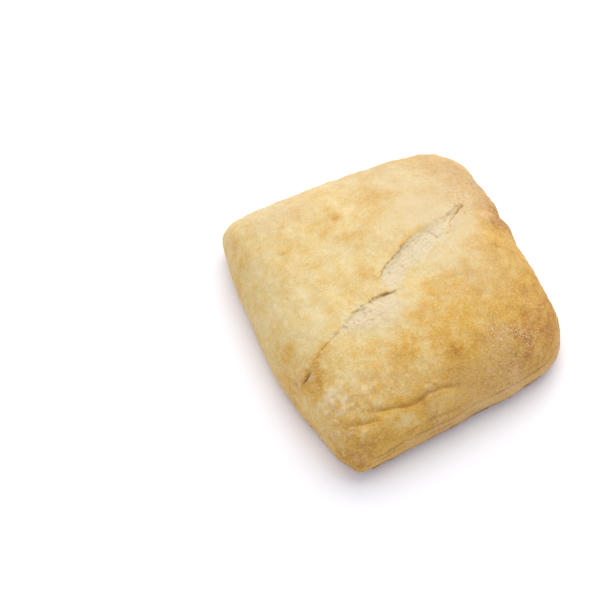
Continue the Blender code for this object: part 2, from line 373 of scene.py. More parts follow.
# %% Swells, lumps and grain
# Each size of lump: how far apart, how high, and its place in the noise.
SWELL = 0.8 * MM
SWELL_SPACING = 27.0 * MM
SWELL_PLACE = (3.1, 7.7, 1.9)
LUMPS = (
    (9.0 * MM, 0.36 * MM, (1.7, 4.2, 8.8)),
    (4.3 * MM, 0.22 * MM, (5.9, 0.4, 2.1)),
    (1.9 * MM, 0.17 * MM, (7.3, 3.8, 6.6)),
    (1.1 * MM, 0.08 * MM, (2.9, 1.5, 4.4)),
)


def noise_sum(rows):
    """Several sizes of noise added up. Each row is a spacing, a strength and a place in the noise."""
    return sum(strength * rough(smooth, spacing, place) for spacing, strength, place in rows)


swells = SWELL * rough(smooth, SWELL_SPACING, SWELL_PLACE) * ramp(z, WIDEST_HEIGHT)
lumps = noise_sum(LUMPS)
print("swells, mm:", span(swells), "lumps, mm:", span(lumps))

# %% Blisters and dents that the roll shows
# Each is a place on the top and a radius in millimetres, and its height, negative for a dent.
BLISTERS = (
    (-8.4, 31.6, 2.5, 0.75), (8.5, 32.7, 4.5, 0.4), (-28.0, 38.3, 2.2, 0.35), (-34.0, 27.5, 2.4, 0.35),
    (-12.0, 2.0, 4.0, 0.35), (-14.4, -33.5, 3.6, 0.25), (4.5, -41.6, 3.4, 0.4),
    (17.1, -42.6, 3.0, 0.35), (45.5, 6.7, 2.4, 0.5), (25.2, -25.6, 1.9, -0.55), (42.2, -6.6, 1.5, -0.6),
    (-25.1, 1.5, 2.2, -0.3), (-28.0, 23.7, 2.6, -0.25), (-33.6, 21.1, 2.2, -0.25),
    (-17.0, 19.5, 2.8, -0.25), (30.0, -12.0, 2.0, -0.25), (9.0, -27.0, 2.2, -0.25),
)


def patches(points, table):
    """Soft round patches added up. Each row is x, y and radius in millimetres, and strength."""
    total = np.zeros(len(points))
    for x, y, radius, strength in table:
        away = np.hypot(points[:, 0] - x * MM, points[:, 1] - y * MM)
        total += strength * bump(away, radius * MM)
    return total


blisters = MM * patches(smooth, BLISTERS) * on_top
print(len(BLISTERS), "blisters and dents, mm:", span(blisters))

# %% [markdown]
# ## Where the flour lies
#
# The flour that dusted the dough bakes into the skin and leaves it pebbly. So the flour comes before the
# colours: it is a list of patches, read off the roll, whose borders noise makes ragged. The same number
# roughens the crust here and whitens it later. A thin, even film of finer flour has its own, broader
# patches, and takes the colour off the crust without hiding it. A negative patch keeps the film off.

# %% Patches of flour, and crust that the fold kept bare
FLOUR_PATCHES = (
    (30, -46, 13, 0.24), (46, -36, 12, 0.08), (24, -43, 5, 0.36), (25, -53, 4, 0.34),
    (41, -34, 3, 0.18), (43, -22, 7, 0.12), (-18.5, -17, 5, 0.30), (18, -52, 8, 0.25),
    (-40, -38, 9, 0.34), (-24, -45, 9, 0.28), (-12, -44, 8, 0.25), (2, -46, 8, 0.20),
    (-46, -44, 6, 0.20), (-43.5, -34.5, 1.9, 0.95), (-39.6, -38.5, 2.6, 0.40), (-51, -21, 3.5, 0.40),
    (-36, -56, 8, 0.16), (30, 19, 8, 0.25), (20, 42, 14, 0.30), (42, 41, 9, 0.40), (-29, 50, 8, 0.30),
    (35, -6, 7, 0.25), (-16, -19.5, 4, 0.35), (-12.5, -21.8, 4.0, 0.60), (31, 12, 5, 0.35),
    (44, 16, 9, 0.45), (40, 27, 10, 0.35), (44.5, 7.5, 2.6, 0.85), (-17.5, 15.2, 2.0, 0.75),
    (-39, -21, 6, 0.15), (2, 34, 2.0, 0.35), (-10, -55, 4, 0.40),
)
BARE_PATCHES = (
    (4.5, -41.6, 4, 0.30), (-22, -54, 8, 0.60), (-34, -52, 4, 0.40),
)
FILM_PATCHES = (
    (42, 34, 24, 0.65), (40, 8, 18, 0.55), (14, 14, 14, 0.45), (10, 48, 20, 0.60), (-26, 48, 16, 0.55),
    (-8, 14, 12, 0.20), (-10, -14, 9, 0.25), (28, -16, 13, 0.30), (-12, -19, 6, 0.55),
    (25, 15, 13, 0.18), (20, -4, 12, 0.18), (0, -25, 8, 0.20), (-20, 15, 8, 0.18), (8, -55, 9, 0.25),
    (49, 8, 10, -0.60), (43, -3, 6, -0.35), (-40, -57, 12, -0.15), (48, -44, 26, -0.32),
    (-47, -25, 14, -0.20), (-50, -46, 8, -0.15), (-30, 47, 12, 0.14), (30, 48, 16, 0.14),
    (41, 18, 12, 0.16), (24, 4, 10, 0.12), (-10, -2, 8, 0.10), (28, -26, 9, 0.12), (9, 5, 5, -0.15),
    (30, 10, 4, 0.20), (-28, -17, 7, -0.14), (24, -45, 8, 0.20), (43, -21, 8, 0.12), (3, -42, 8, -0.16),
    (44, -40, 7, -0.12), (-23, -51, 7, -0.12),
)
FLOUR_NOISE = ((8 * MM, 0.22, (3.3, 8.8, 1.2)), (2.4 * MM, 0.16, (6.6, 2.4, 7.5)))
FILM_NOISE = ((11 * MM, 0.14, (5.2, 0.7, 3.9)), (3.0 * MM, 0.12, (9.4, 3.1, 1.8)))
# The front left corner is the flouriest: its middle, its reach, and how much its pebbles' tops gain.
FLOURY_CORNER = (-42, -42, 17, 1.0)
TOPS_GAIN = 0.62
THINNEST_FLOUR = 0.08
THINNEST_FILM = 0.05


def wobble(spacing, reach, place):
    """Sideways moves of the crust's points, so that round patches read at them come out ragged."""
    first = rough(smooth, spacing, place)
    second = rough(smooth, spacing, (place[2], place[0], place[1]))
    return reach * np.column_stack([first, second, np.zeros(len(smooth))])


ragged = smooth + wobble(8 * MM, 1.8 * MM, (4.5, 1.6, 9.3)) + wobble(2.4 * MM, 1.8 * MM, (0.8, 6.7, 2.9))
flour = THINNEST_FLOUR + patches(ragged, FLOUR_PATCHES) - patches(ragged, BARE_PATCHES)
flour += noise_sum(FLOUR_NOISE)
pebble_tops = rough(smooth, 2.5 * MM, (1.1, 7.6, 3.4))
flour += TOPS_GAIN * patches(smooth, (FLOURY_CORNER,)) * soft(ramp(pebble_tops - 0.10, 0.25))
flour = np.clip(flour, 0.0, 1.0)
film = np.clip(THINNEST_FILM + patches(ragged, FILM_PATCHES) + noise_sum(FILM_NOISE), 0.0, 1.0)
print("mean flour", round(float(flour.mean()), 2), "mean film", round(float(film.mean()), 2))

# %% Pebbles in the floury skin
FINE_PEBBLE = 0.40 * MM
FINE_SPACING = 1.3 * MM
COARSE_PEBBLE = 0.50 * MM
pebbly = 0.15 + 0.85 * ramp(flour - 0.12, 0.4)
towards_left = ramp(15 * MM - x, 40 * MM)
fine_pebbles = FINE_PEBBLE * rough(smooth, FINE_SPACING, (8.4, 2.2, 6.9)) * (0.6 + 0.6 * towards_left)
coarse_pebbles = COARSE_PEBBLE * pebble_tops * (0.15 + 0.95 * towards_left)
pebbles = pebbly * (fine_pebbles + coarse_pebbles)
print("pebbles, mm:", span(pebbles))

# %% [markdown]
# ## The fold and the creases
#
# When the sheet was cut and turned, its front edge rolled under. That left a crease along the front
# shoulder, in two overlapping strokes, with the crust rolled out below. Lower down the crust ends in a
# ragged line above a pale, wrinkled band, which stayed pale because the heat hardly reached it there.
# Each crease is a narrow groove along a drawn line, with a soft roll on its lower side.

# %% The fold on the front shoulder
# Each stroke is its line as (x, y) in millimetres, its depth, how far the crust rolls out below it, and
# the length over which it fades at both ends.
FOLD_STROKES = (
    (((-38, -45.6), (-34, -47.2), (-30.2, -48.8), (-25.7, -50.2), (-21, -51.2), (-16.6, -51.7),
      (-13.4, -51.2), (-10.2, -50.7), (-4.2, -50.4), (0.1, -51.1), (6, -52.0)), 0.6, 0.55, 8.0),
    (((-44, -47.4), (-42, -48.2), (-38.4, -49.5), (-35.9, -50.3), (-33.3, -50.8), (-29, -52.4)),
     0.6, 0.6, 6.0),
)
GROOVE = 0.34 * MM
FOLD_ROLL = 2.3 * MM
FOLD_WANDER = 0.35 * MM
FOLD_FOOT = 12 * MM


def fold_relief():
    relief = np.zeros(len(smooth))
    for line, depth, roll_out, fade in FOLD_STROKES:
        line_x, line_y = np.array(line, dtype=float).T * MM
        below = np.interp(x, line_x, line_y) + FOLD_WANDER * tear_line(x, 4.4) - y
        share = soft(ramp(x - line_x[0], fade * MM)) * soft(ramp(line_x[-1] - x, fade * MM))
        share = share * ramp(z - FOLD_FOOT, 6 * MM)
        groove = depth * MM * bump(below, GROOVE + 0.9 * MM * (below < 0))
        rolled = roll_out * MM * bump(below - 1.2 * FOLD_ROLL, FOLD_ROLL) * (below > 0)
        relief += share * (rolled - groove)
    return relief


fold = fold_relief()
print("fold, mm:", span(fold))

# %% Creases in the pale side
# Height in millimetres above the table, how much it wanders, depth, half breadth and place in the noise.
SIDE_CREASES = (
    (12.6, 1.6, 0.60, 0.50, 1.3), (9.4, 1.4, 0.55, 0.45, 6.9), (6.2, 1.2, 0.45, 0.50, 5.2),
    (17.5, 2.4, 0.25, 0.70, 8.4), (5.0, 0.3, 0.55, 0.40, 3.7),
)
CREASE_WANDER = 16.0 * MM
CREASE_BREAK = 11.0 * MM


def side_creases():
    relief = np.zeros(len(smooth))
    for height, wander, depth, breadth, place in SIDE_CREASES:
        line = height * MM + wander * MM * rough(level_places, CREASE_WANDER, (place, place, place))
        present = soft(ramp(0.35 + rough(level_places, CREASE_BREAK, (place, 0.5, place)), 0.6))
        relief -= depth * MM * present * bump(z - line, breadth * MM)
        relief += 0.5 * depth * MM * present * bump(z - line - 1.9 * breadth * MM, 1.3 * breadth * MM)
    on_side = ramp(HEIGHT * 0.75 - z, 8 * MM)
    on_left = soft(ramp(-x - 36 * MM, 8 * MM)) * soft(ramp(y + 54 * MM, 6 * MM))
    towards_front = 0.3 + 0.7 * soft(ramp(10 * MM - y, 45 * MM))
    return relief * on_side * (1 - on_left) * towards_front


creases = side_creases()
print("side creases, mm:", span(creases))

# %% Wrinkles that run with the edge over the shoulders
WRINKLE = 0.22 * MM
WRINKLE_CELL = np.array((3.6, 3.6, 1.1)) * MM
shoulder = bump(z - 21 * MM, 9 * MM)
patchy = soft(ramp(0.35 + rough(smooth, 13 * MM, (2.2, 9.9, 4.1)), 0.7))
wrinkles = WRINKLE * shoulder * patchy * rough(smooth, WRINKLE_CELL, (6.1, 2.3, 5.7))
print("wrinkles, mm:", span(wrinkles))

# %% The knob and the notches on the right edge
# Each is its place along the edge, how far it stands out and half its length, in millimetres.
KNOB_AND_NOTCHES = ((3.2, 1.5, 4.2), (11.0, -0.9, 1.8), (-3.2, -0.5, 1.8))
KNOB_HEIGHT = 19.0 * MM
KNOB_SPREAD = 9.0 * MM
KNOB_START = 38.0 * MM
KNOB_FADE = 8.0 * MM
on_right_edge = bump(z - KNOB_HEIGHT, KNOB_SPREAD) * ramp(x - KNOB_START, KNOB_FADE)
knob = np.zeros(len(smooth))
for place, out, reach in KNOB_AND_NOTCHES:
    knob += out * MM * bump(y - place * MM, reach * MM) * on_right_edge
print("knob, mm:", span(knob))

# %% Small hollows and swellings along the outline
# Place in millimetres, how far along the edge it reaches, and how far it stands out.
EDGE_SWELLINGS = (
    (-48, 57, 14, 7, 0.6), (-9, 56, 22, 14, 0.6), (47, 45, 19, 8, 0.7), (52, 20, 18, 7, 0.8),
    (54, 8, 18, 3, 0.4), (53, 14, 18, 5, 0.6), (53, 0, 18, 3, -0.6), (51, -38, 17, 6, -0.5),
    (47, -48, 7, 6, 0.7), (22, -56, 7, 7, 0.6), (34, 51, 22, 10, -0.7), (-54, 17, 8, 14, -0.8),
    (-52, -35, 8, 7, -0.7), (-52, -44, 8, 13, -0.9), (-48, -55, 4, 5, -1.0), (-43, -59, 6, 4, 1.3),
    (-24, -57, 5, 17, -0.5),
)
sideways = outwards * np.array((1.0, 1.0, 0.0))
swellings = np.zeros(len(smooth))
for *place, reach, out in EDGE_SWELLINGS:
    away = np.linalg.norm(smooth - np.array(place) * MM, axis=1)
    swellings += out * MM * bump(away, reach * MM)
print("edge swellings, mm:", span(swellings))

# %% [markdown]
# ## Sculpting the slash
#
# The oven tore the score open into a shallow bowl, about 1.4 mm deep. On the left the torn crust stands
# up as a thin lip that leans over the opening a little, so a fine dark line lies under it. The floor is
# pale torn crumb with pores and strands, and on the right it fades into the crust with no hard edge. So
# the slash is three moves: down by the cut's depth, up for the lip, and sideways for the overhang. The
# sideways move is what a height map alone can't do: the top of the wall moves one way and its foot the
# other, which makes the undercut. Broken cracks and small bridges of dough keep the line ragged.

# %% How deep the cut lies
WALL_CURVE = 0.95
# Where strands of dough still bridge the narrow end, the cut loses up to this share of its depth.
BRIDGED = 0.8
BRIDGE_CELL = (1.7 * MM, 2.4 * MM, MM)
along, across = slash_frame(smooth)
slash_places = np.column_stack([along, across, np.zeros(len(along))])
upper = cut_edges(UPPER_CUT, along)
lower = cut_edges(LOWER_CUT, along)
upper_left, upper_right = upper[:2]
lower_left, lower_right = lower[:2]


def stretch(start, fade_in, end, fade_out):
    """1 on a stretch of the slash, easing in after its start and out before its end, in millimetres."""
    return soft(ramp(along - start * MM, fade_in * MM)) * soft(ramp(end * MM - along, fade_out * MM))


def streak(edge, away, breadth):
    """1 on a line beside an edge of the slash: how far right of it, and half its breadth, in millimetres."""
    return bump(across - edge - away * MM, breadth * MM)


def cut_depth(edges):
    left, right, depth, deepest = edges
    share = ramp(across - left, np.maximum(right - left, TINY))
    wall = np.sin(np.pi / 2 * ramp(share, deepest)) ** WALL_CURVE
    slope = np.cos(np.pi / 2 * ramp(share - deepest, 1 - deepest))
    return depth * np.where(share < deepest, wall, slope) * on_top


bridges = stretch(56, 6, 94, 4) * soft(ramp(0.12 - rough(slash_places, BRIDGE_CELL, (0.0, 0.0, 2.4)), 0.35))
depth_here = np.maximum(cut_depth(upper), cut_depth(lower) * (1 - BRIDGED * bridges))
print("slash, mm:", span(depth_here))

# %% Fine cracks in and beside the slash
# Each is a line of (along, across) in millimetres, its depth, half its breadth, and how broken it is.
CRACKS = (
    (((0.1, -0.3), (1.6, -1.4), (4.7, -1.1), (7.2, -0.5), (9.7, 0.0), (11.6, 0.5)), 0.65, 0.34, 0.55),
    (((1.7, -2.1), (4.4, -2.8), (8.8, -2.3), (11.2, -2.2)), 0.12, 0.4, 0.5),
    (((31.5, -5.0), (34.0, -4.6), (36.4, -4.5), (41.1, -4.3), (44.9, -3.8), (48.3, -3.1)), 0.5, 0.34, 0.9),
    (((20.8, -1.8), (20.6, 0.6), (20.1, 2.7)), 0.4, 0.32, 0.5),
    (((18.0, 2.2), (17.0, 3.6), (15.0, 3.9)), 0.35, 0.30, 0.3),
    (((39.0, 0.7), (39.2, 1.1)), 0.5, 0.35, 0.0),
    (((48.9, 5.6), (50.4, 4.8), (51.6, 4.2)), 0.4, 0.32, 0.3),
    (((50.8, 4.6), (52.0, 3.9), (53.2, 3.1), (54.4, 2.2)), 0.75, 0.34, 0.0),
    (((54.4, 2.2), (57.0, 1.1), (59.4, 0.8), (61.4, 0.9), (63.7, 0.1), (66.9, -0.6)), 0.6, 0.34, 0.9),
    (((68.2, 3.3), (70.8, 1.7), (73.0, 0.2)), 0.45, 0.34, 0.9),
    (((73.0, 0.2), (78.1, -0.3), (82.4, -0.7), (85.8, -0.3), (88.6, 0.6)), 0.25, 0.34, 0.95),
    (((92.4, 0.6), (93.4, 0.5), (96.0, -0.1)), 1.0, 0.36, 0.0),
)
CRACK_FADE = 1.2 * MM
CRACK_BREAK = 1.1 * MM


def distance_to_line(line, first, second):
    """Distance in the plane from each point to a drawn line, and the place along it of the nearest spot."""
    nearest = np.full(len(first), WIDTH)
    reached = np.zeros(len(first))
    start_length = 0.0
    spots = np.array(line) * MM
    for start, end in zip(spots[:-1], spots[1:], strict=True):
        step = end - start
        length = np.hypot(*step)
        share = ((first - start[0]) * step[0] + (second - start[1]) * step[1]) / length**2
        share = np.clip(share, 0.0, 1.0)
        gap = np.hypot(first - start[0] - share * step[0], second - start[1] - share * step[1])
        closer = gap < nearest
        nearest = np.where(closer, gap, nearest)
        reached = np.where(closer, start_length + share * length, reached)
        start_length += length
    return nearest, reached, start_length


def crack_depth():
    total = np.zeros(len(along))
    broken = rough(slash_places * np.array((1.0, 0.0, 0.0)), CRACK_BREAK, (0.0, 3.7, 1.1))
    with_the_tear = across - LEFT_RAG * tear_line(along, LEFT_TEAR)
    for line, depth, breadth, gaps in CRACKS:
        away, reached, length = distance_to_line(line, along, with_the_tear)
        ends = soft(ramp(reached, CRACK_FADE)) * soft(ramp(length - reached, CRACK_FADE))
        present = 1 - gaps * soft(ramp(0.15 - broken, 0.3))
        total = np.maximum(total, depth * MM * np.maximum(ends, 0.5) * present * bump(away, breadth * MM))
    return total * on_top


cracks = crack_depth()
print("cracks, mm:", span(cracks))

# %% The lifted left lip, and its lean over the opening
LIP_RAISE = 0.34 * MM
LIP_BREADTH = 2.2 * MM
LIP_MIDDLE = 35.0 * MM
LIP_LENGTH = 9.0 * MM
RIGHT_RIDGE = 0.22 * MM
LEAN = 0.2 * MM
UNDERCUT = 0.15 * MM
LEAST_WALL = 0.3 * MM
WALL_SHARE = 0.55
FULL_LEAN_DEPTH = 1.5 * MM
on_lip = bump(along - LIP_MIDDLE, LIP_LENGTH)


def lean(edges, most):
    """Sideways move: the lip over the opening, the foot of the wall back under it."""
    left, right, depth, deepest = edges
    wall = np.maximum(deepest * (right - left), LEAST_WALL)
    inside = across - left
    on_wall = np.cos(np.pi / 2 * ramp(inside, WALL_SHARE * wall))
    over = most * np.where(inside < 0, bump(inside, LIP_BREADTH), on_wall)
    under = UNDERCUT * bump(inside - wall, WALL_SHARE * wall) * (inside > 0)
    return (over - under) * ramp(depth, FULL_LEAN_DEPTH) * on_lip


lip = LIP_RAISE * bump(np.minimum(across - upper_left, 0.0), LIP_BREADTH) * on_lip * (across <= upper_left)
lip += RIGHT_RIDGE * streak(upper_right, 0.8, 1.1) * stretch(10, 5, 52, 6)
leaning = (lean(upper, LEAN) + lean(lower, 0.6 * LEAN)) * on_top
print("lip, mm:", span(lip), "lean, mm:", span(leaning))

# %% Torn crumb on the floor
UPPER_FADE = 2.4 * MM
LOWER_FADE = 2.8 * MM
LIP_BORDER = 0.5 * MM
SOFT_BORDER = 2.4 * MM
SOFT_UNTIL = 29.0 * MM
BORDER_WANDER = 2.1 * MM
STRAND = 0.26 * MM
STRAND_CELL = (4.2 * MM, 1.0 * MM, MM)
CRUMB = 0.14 * MM
PORE = 0.45 * MM
uneven = BORDER_WANDER * rough(smooth, 3.5 * MM, (4.4, 0.9, 6.1))
left_border = LIP_BORDER + SOFT_BORDER * soft(ramp(SOFT_UNTIL - along, 8 * MM))


def torn_share(edges, fade):
    """1 on the torn floor, 0 on the crust, soft towards the right lip."""
    left, right, depth, _ = edges
    from_left = across - left - 0.25 * MM + 0.3 * uneven * (left_border > LIP_BORDER)
    inside = soft(ramp(from_left, left_border)) * soft(ramp(right + fade + uneven - across, 2 * fade))
    return inside * ramp(depth, 0.8 * MM) * on_top


torn = np.maximum(torn_share(upper, UPPER_FADE), torn_share(lower, LOWER_FADE))
strands = rough(slash_places, STRAND_CELL, (4.7, 4.7, 4.7))
pores = soft(ramp(rough(smooth, 1.3 * MM, (1.4, 6.2, 9.7)) - 0.45, 0.2))
crumb = (STRAND * strands + CRUMB * rough(smooth, 1.4 * MM, (8.1, 5.5, 3.3)) - PORE * pores) * torn
print("torn crumb covers", int((torn > 0.5).sum()), "points")

# %% Move every point, and lay the roll in the CAD's box
relief = swells + (lumps + pebbles) * (1 - torn) + blisters + fold + creases
relief = (relief + wrinkles + lip) * off_base
sculpted = smooth + outwards * relief[:, None]
sculpted[:, 0] += knob
sculpted += sideways * swellings[:, None]
sculpted[:, :2] += leaning[:, None] * ACROSS_AXIS
sculpted[:, 2] += crumb - depth_here - cracks
middle = (sculpted.min(axis=0) + sculpted.max(axis=0)) / 2
middle[2] = sculpted[:, 2].min()
cad_middle = np.array((roll_low + roll_high) / 2)
cad_middle[2] = roll_low.z
sculpted += cad_middle - middle
for vert, place in zip(roll.verts, sculpted, strict=True):
    vert.co = place
print("moved into the CAD box by, mm:", np.round((cad_middle - middle) / MM, 2))

# %% [markdown]
# ## Browning and flour
#
# The colour of a crust is a map of heat: brown where the dough stood nearest to the oven's heat, at the
# right, along the front and on the corners, pale where it lay sheltered, at the left and low on the
# sides. Flour lies where the dough was dusted, and the torn crumb never browned. Painting an image would
# tie the look to a file, so six numbers are stored on every point instead, as you would in Vertex Paint:
# browning, flour, torn, sheltered, scorched and film. Three of them also carry painted shade: browning and
# scorched darken the cracks, creases and base rim, and sheltered darkens the pale side towards the front.
# The material reads them as attributes and adds the finer pattern.

# %% Browning
# Places on the roll and radius in millimetres, and how much browner or paler the patch is.
BROWN_PATCHES = (
    (50, -45, 22, 0.31), (20, -46, 17, 0.10), (54, 0, 9, 0.20), (54, -20, 14, 0.14), (50, 30, 11, 0.30),
    (40, 46, 11, 0.22), (20, 53, 12, 0.16), (52, 18, 8, 0.26), (-46, -55, 9, 0.30),
    (-36, -55.5, 8, 0.24), (-26, -57.5, 7, 0.12), (-4, -55, 7, 0.12), (1, 36, 6, 0.14),
    (42, -9, 6, 0.16), (-48.5, -30, 3.5, 0.16), (-52, -21.5, 3.5, 0.16), (-52, 32, 14, 0.11),
    (-52, -12, 10, 0.14), (-12, -44, 10, 0.10), (36, -44, 12, 0.06), (-9.5, 30.2, 2.2, 0.42),
    (8.5, 32.7, 4.4, 0.22), (-28, 38.3, 2.2, 0.22), (-34, 27.5, 2.2, 0.22), (-12, 2.0, 3.6, 0.16),
    (-14.4, -33.5, 4.2, 0.14), (-10, -34, 3.0, 0.08), (4.5, -41.6, 3.6, 0.34), (17.1, -42.6, 3.4, 0.22),
    (42, -6.6, 1.7, 0.42), (25.2, -25.6, 1.9, 0.18), (46.5, 5.0, 2.6, 0.26), (50, 9, 7, 0.34),
    (51, 5, 5, 0.16), (-43, -25, 5, 0.22), (-12, -54.5, 3.4, 0.30), (-46, -26, 4.5, 0.22),
    (-15, 45, 10, 0.08), (0, -35, 7, 0.08), (40, 36, 9, 0.08), (5, -55, 8, 0.10), (-30, 15, 7, 0.08),
    (0, 25, 6, 0.07), (30, 46, 8, 0.06), (50, 4, 6, 0.08), (40, -10, 7, 0.08), (33, -44, 4, 0.10),
    (42, 29, 8, 0.10),
)
PALE_PATCHES = (
    (-34, 22, 16, 0.10), (30, -26, 6, 0.14), (-36, -33, 11, 0.10), (30, -34, 5, 0.12),
    (14, 13, 10, 0.10), (-10, -16, 6, 0.12), (-28, 46, 10, 0.10), (-36, -8, 16, 0.10),
    (12, -4, 9, 0.12), (-20, -22, 8, 0.14), (20, -35, 8, 0.07), (-50, -25, 9, 0.07),
    (-40, -15, 8, 0.07), (-30, -25, 7, 0.08), (3, 8, 6, 0.10), (-50, -3, 10, 0.06), (-6, -43, 7, 0.06),
    (-10, -36, 14, 0.04), (13, 8, 12, 0.04), (-40, -52, 6, 0.12),
)
BROWN_NOISE = ((15 * MM, 0.13, (0.7, 3.1, 5.5)), (6 * MM, 0.13, (9.2, 1.1, 0.3)))
LEAST_BROWN = 0.26
BROWNER_RIGHT = 0.23
# What a metre of relief adds: tops catch the heat, but floury pebbles stay pale.
LUMP_BROWNING = 120.0
PEBBLE_BROWNING = -60.0
BLISTER_BROWNING = 90.0
patch_edges = 1 + 0.4 * rough(smooth, 2.1 * MM, (3.9, 5.8, 8.2))
browning_and_painted_shade = LEAST_BROWN + BROWNER_RIGHT * ramp(across + 25 * MM, 75 * MM) + noise_sum(BROWN_NOISE)
browning_and_painted_shade += patches(ragged, BROWN_PATCHES) * patch_edges - patches(ragged, PALE_PATCHES)
browning_and_painted_shade += LUMP_BROWNING * lumps + PEBBLE_BROWNING * pebbles + BLISTER_BROWNING * blisters
print("browning from", round(float(browning_and_painted_shade.min()), 2), "to", round(float(browning_and_painted_shade.max()), 2))

# %% Browning along the slash and the fold, with painted shade in its cracks
gold_lip = streak(upper_left, -0.7, 1.0) * stretch(17, 6, 41, 8)
crease_line = ramp(-fold, 0.8 * MM)
crack_line = ramp(cracks, 1.0 * MM)
beside_lower = stretch(48, 6, 76, 10)
browning_and_painted_shade -= 0.10 * stretch(12, 8, 56, 10) * streak(upper_right, 3.0, 4.5)
browning_and_painted_shade -= 0.10 * beside_lower * streak(lower_right, 3.5, 4.0)
# Painted shade: the crust is browned at the foot of the lower crack's left lip and along the slit, where
# shade falls into them.
browning_and_painted_shade += 0.30 * streak(lower_left, 0.5, 0.9) * bump(along - 53 * MM, 2.6 * MM)
slit = ramp(along - 76 * MM, 8 * MM) * ramp(99 * MM - along, 4 * MM)
browning_and_painted_shade += 0.24 * streak(lower_left, 0.8, 1.7) * slit
# The cracks and the fold's crease are browned as well: partly browner crust, partly painted shade in the
# grooves.
browning_and_painted_shade += 0.12 * gold_lip + 0.05 * crease_line + 0.35 * crack_line - 0.14 * ramp(fold, 0.5 * MM)
print("gold lip on", int((gold_lip > 0.5).sum()), "points")

# %% The pale band low on the side and the base's brown rim, both partly painted shade
PALE_HEIGHT = 16.5 * MM
PALE_BROWNING = 0.40
BROWNED_CORNER = (-47, -57, 15, 1.0)
# The base rim is the brown bottom edge. It is also painted contact shade where the roll meets the table, and
# reaches higher at the front.
RIM_HEIGHT = 3.4 * MM
FRONT_RIM_SHADE = 2.8 * MM
RIM_NOISE = ((4 * MM, 0.9 * MM, (7.1, 0.2, 4.6)), (1.5 * MM, 0.6 * MM, (0.4, 3.6, 8.2)))
pale_line = PALE_HEIGHT + 2.2 * MM * rough(level_places, CREASE_WANDER, (1.3, 1.3, 1.3))
pale_line += 2.4 * MM * rough(smooth, 3.4 * MM, (2.8, 5.1, 0.6))
# The band is pale, unbaked dough. Its darker tone is strongest towards the front and left, and is also
# painted shade on the sides that face away from the lamp.
away_from_back = soft(ramp(60 * MM - y - 0.4 * x, 70 * MM))
pale_band_and_shade = soft(ramp(pale_line - z, 8 * MM)) * (0.45 + 0.55 * away_from_back)
pale_band_and_shade = pale_band_and_shade * (1 - patches(smooth, (BROWNED_CORNER,)))
pale_band_and_shade = pale_band_and_shade * (1 - 0.7 * soft(ramp(-x - 42 * MM, 6 * MM)))
# Inside the band the browning is pulled to PALE_BROWNING. This tone is darker than the palest crust and also
# paints this shade.
browning_and_painted_shade = np.clip(browning_and_painted_shade * (1 - 0.8 * pale_band_and_shade) + PALE_BROWNING * pale_band_and_shade, 0.0, 1.0)
at_front = soft(ramp(-30 * MM - y, 25 * MM)) * soft(ramp(x + 50 * MM, 10 * MM))
base_rim_and_contact_shade = soft(ramp(RIM_HEIGHT + FRONT_RIM_SHADE * at_front + noise_sum(RIM_NOISE) - z, 4.2 * MM))
# Painted shade: the cracks, the creases and the base rim are darkened, mixed with real scorch.
scorch_and_painted_shade = 0.5 * crack_line + 0.4 * ramp(-creases, 0.5 * MM) + 0.3 * crease_line + base_rim_and_contact_shade
print("mean browning", round(float(browning_and_painted_shade.mean()), 2))

# %% Flour caught in the slash
SLASH_FLOUR = 1.6 * MM
blotches = rough(smooth, SLASH_FLOUR, (6.2, 0.8, 3.7))
under_lips = np.maximum(streak(upper_left, 1.2, 1.0), streak(lower_left, 1.4, 1.0))
under_lips = under_lips * ramp(rough(smooth, 1.8 * MM, (2.7, 4.9, 0.6)) + 0.1, 0.3)
narrow_floor = streak(lower_left, 2.0, 1.8) * soft(ramp(along - 54 * MM, 4 * MM)) * ramp(blotches + 0.25, 0.3)
whitened = (bump(along - 15 * MM, 6 * MM) + bump(along - 46 * MM, 6 * MM)) * ramp(blotches + 0.4, 0.4)
caught = np.maximum(np.maximum(under_lips, narrow_floor), 0.95 * whitened)
caught = np.maximum(0.9 * caught, 0.75 * ramp(strands - 0.08, 0.25)) * torn
flour = np.maximum(flour * (1 - torn), caught) * (1 - base_rim_and_contact_shade)
at_tip = bump(along - 14 * MM, 9 * MM) * streak(upper_left, 1.6, 3.0)
flour = np.maximum(flour, 0.95 * at_tip * ramp(rough(smooth, SLASH_FLOUR, (3.3, 7.1, 5.9)) + 0.55, 0.5))
lightly_torn = 0.9 * beside_lower * soft(ramp(7.5 * MM + lower_right - across, 6.5 * MM))
lightly_torn = lightly_torn * ramp(across - lower_left, 1.0 * MM)
print("flour caught on", int((caught > 0.4).sum()), "points")

# %% The finished roll as an object, with its painted numbers
roll_mesh = bpy.data.meshes.new("floury_crust_roll")
roll.to_mesh(roll_mesh)
roll.free()
roll_mesh.shade_smooth()
painted = {
    "browning_and_painted_shade": browning_and_painted_shade,
    "flour": np.maximum(flour, 0.75 * lightly_torn),
    "torn": np.maximum(torn, lightly_torn),
    "sheltered_and_shaded": pale_band_and_shade,
    "scorch_and_painted_shade": scorch_and_painted_shade,
    "film": film * (1 - torn) * (1 - 0.6 * lightly_torn) * (1 - 0.8 * gold_lip),
}
for name, values in painted.items():
    layer = roll_mesh.attributes.new(name, "FLOAT", "POINT")
    layer.data.foreach_set("value", values.astype(np.float32))
crusty_roll = bpy.data.objects.new("crusty_roll", roll_mesh)
scene_objects.link(crusty_roll)
triangles = sum(len(face.vertices) - 2 for face in roll_mesh.polygons)
print("roll:", triangles, "triangles, size in mm", [round(side / MM, 1) for side in crusty_roll.dimensions])

# %% [markdown]
# ## Materials
#
# One small function adds a node, sets its options and fills its sockets with values or links. One turns
# a colour as the screen shows it (sRGB, written in hex) into the linear values that nodes expect, and one
# fills a colour ramp.


